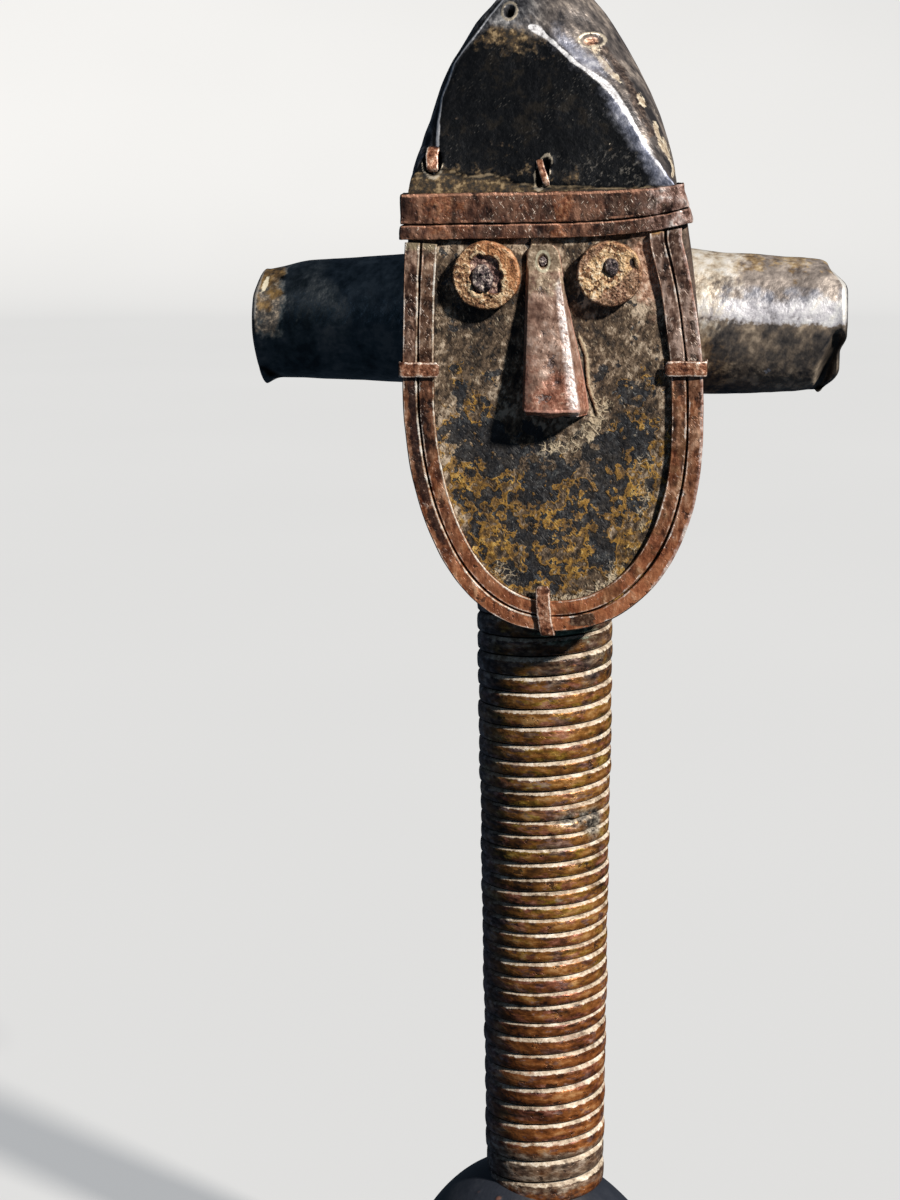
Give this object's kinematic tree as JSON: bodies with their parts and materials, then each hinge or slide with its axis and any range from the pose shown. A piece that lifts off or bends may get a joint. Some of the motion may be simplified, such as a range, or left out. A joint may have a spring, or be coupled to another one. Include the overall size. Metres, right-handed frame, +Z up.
{
  "type": "reliquary guardian figure",
  "caption": "Metal-clad wooden guardian head with a tall cap and side pieces, on a strip-wound neck in a low domed wooden foot.",
  "frame": {"origin": "centre of the foot's flat underside", "axes": "+Z up along the figure, -Y the way the face looks, +X the viewer's right"},
  "size_m": [0.1912, 0.119, 0.4848],
  "materials": {
    "dark_wood": "smooth, blue-black, slight sheen",
    "winding_brass": "worn golden-brown strip, bright upper edges",
    "face_sheet": "khaki patina with blue-black and ochre patches",
    "dark_sheet": "blue-black patinated sheet",
    "copper": "red-brown pitted copper",
    "disc_copper": "corroded, crusted ochre and orange",
    "iron": "rusted dark nail heads"
  },
  "bodies": {
    "root": {"stand": "dark_wood", "neck_winding": "winding_brass", "head": "face_sheet", "cap": "dark_sheet", "ear_left": "dark_sheet", "ear_right": "dark_sheet", "brow_band_wide": "copper", "brow_band_narrow": "copper", "rim_strip_outer": "copper", "rim_strip_inner": "copper", "clip_left": "copper", "clip_right": "copper", "clip_chin": "copper", "nose": "copper", "nose_nail": "iron", "eye_disc_left": "disc_copper", "eye_disc_right": "disc_copper", "eye_nail_left": "iron", "eye_nail_right": "iron", "cap_staple_left": "copper", "cap_staple_front": "copper"}
  },
  "joints": []
}
